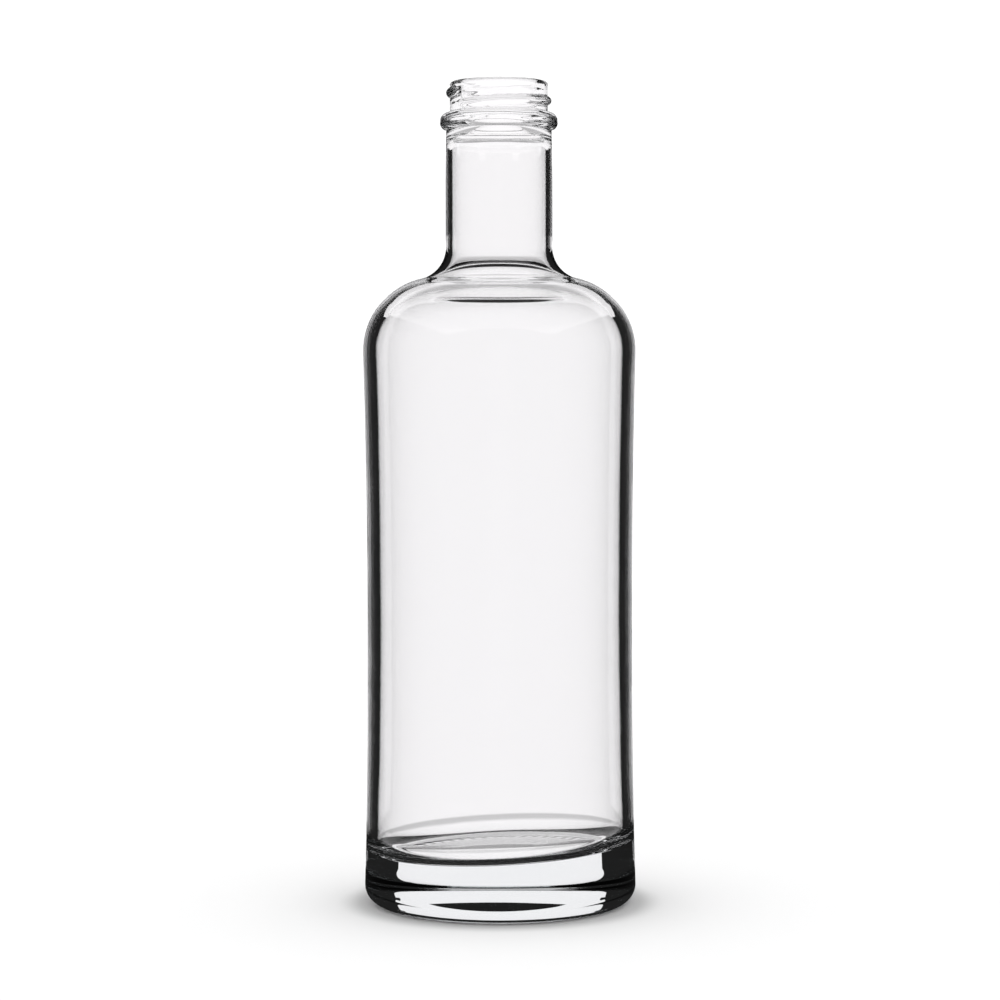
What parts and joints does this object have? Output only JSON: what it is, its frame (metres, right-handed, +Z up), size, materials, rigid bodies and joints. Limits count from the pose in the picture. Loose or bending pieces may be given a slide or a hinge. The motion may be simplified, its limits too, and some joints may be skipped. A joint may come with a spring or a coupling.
{
  "type": "liquor bottle",
  "caption": "Clear glass liquor bottle with a screw finish, bead, straight neck, round shoulder, slightly waisted round body and thick base, without its closure.",
  "frame": {"origin": "middle of the bearing ring, on the surface that the bottle stands on", "axes": "+Z up along the bottle's axis towards the mouth, -Y towards the viewer of the picture, +X to the viewer's right"},
  "size_m": [0.0816, 0.0816, 0.246],
  "materials": {
    "clear_glass": "clear flint glass, polished by the flame, smooth and glossy"
  },
  "bodies": {
    "root": {"glass_bottle": "clear_glass"}
  },
  "joints": []
}
